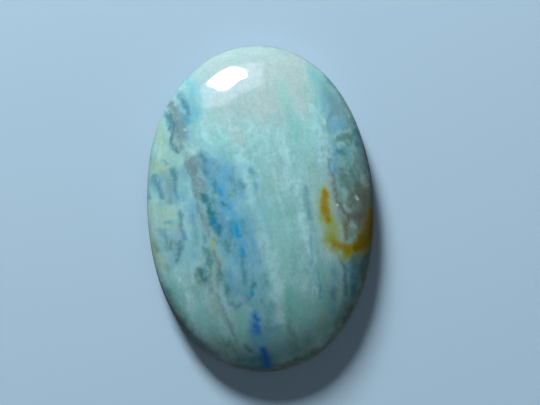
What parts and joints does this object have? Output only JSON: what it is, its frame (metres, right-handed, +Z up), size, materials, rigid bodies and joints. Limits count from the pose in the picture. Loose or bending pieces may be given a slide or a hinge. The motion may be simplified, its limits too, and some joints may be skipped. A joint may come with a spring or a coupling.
{
  "type": "banded onyx cabochon",
  "caption": "Oval flat-backed cabochon with a low polished dome, cut from one piece of blue and milky white banded onyx.",
  "frame": {"origin": "middle of the flat back, on the surface that the stone lies on", "axes": "+X across the oval, +Y along the oval, +Z up through the crown of the dome"},
  "size_m": [0.024, 0.035, 0.0065],
  "materials": {
    "stone": "polished"
  },
  "bodies": {
    "root": {"cabochon": "stone"}
  },
  "joints": []
}
